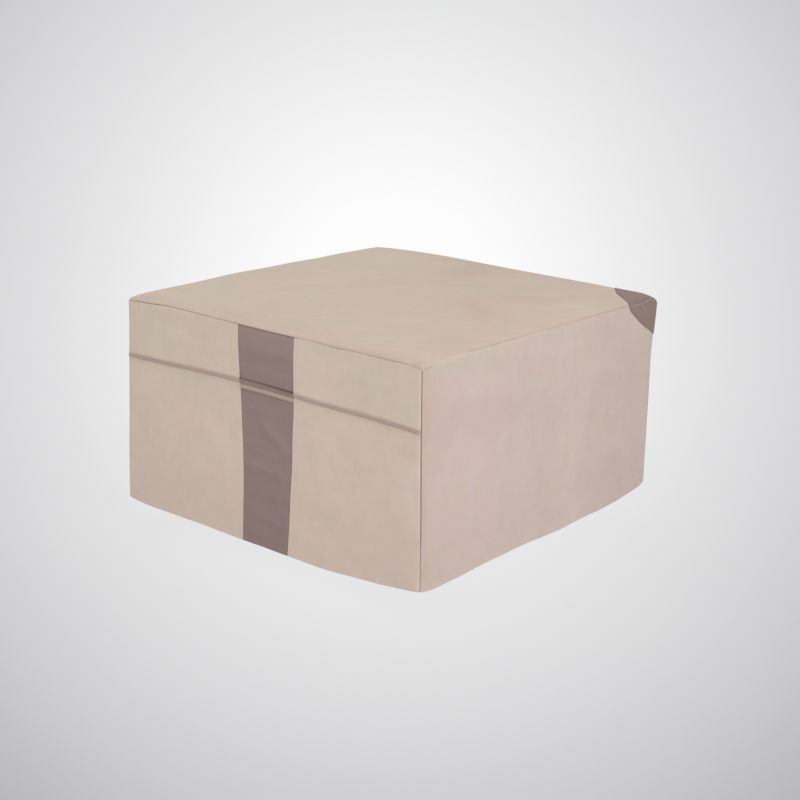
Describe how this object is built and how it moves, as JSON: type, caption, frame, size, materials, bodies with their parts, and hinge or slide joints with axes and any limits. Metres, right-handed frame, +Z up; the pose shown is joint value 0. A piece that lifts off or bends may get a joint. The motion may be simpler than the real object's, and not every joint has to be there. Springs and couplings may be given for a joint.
{
  "type": "fire pit table cover",
  "caption": "Fitted square outdoor cover with a flat top, straight hanging walls, a dark front band, a tape across the front and a dark corner patch; hollow, open below.",
  "frame": {"origin": "middle of the underside of the top, where what is covered carries it", "axes": "+Z up, -Y towards the front wall with the dark band, +X towards the wall to its right"},
  "size_m": [1.0966, 1.0976, 0.6245],
  "materials": {
    "beige_cloth": "matte coated cloth, warm beige",
    "dark_cloth": "matte coated cloth, dark taupe",
    "tape": "matte woven tape, mid taupe"
  },
  "bodies": {
    "root": {"top_panel": "beige_cloth", "front_yoke_left": "beige_cloth", "front_yoke_right": "beige_cloth", "front_lower_left": "beige_cloth", "front_lower_right": "beige_cloth", "band_upper": "dark_cloth", "band_lip": "dark_cloth", "band_lower": "dark_cloth", "strip_left": "tape", "strip_band": "tape", "strip_right": "tape", "right_panel": "beige_cloth", "back_panel": "beige_cloth", "left_panel": "beige_cloth", "corner_patch": "dark_cloth"}
  },
  "joints": []
}
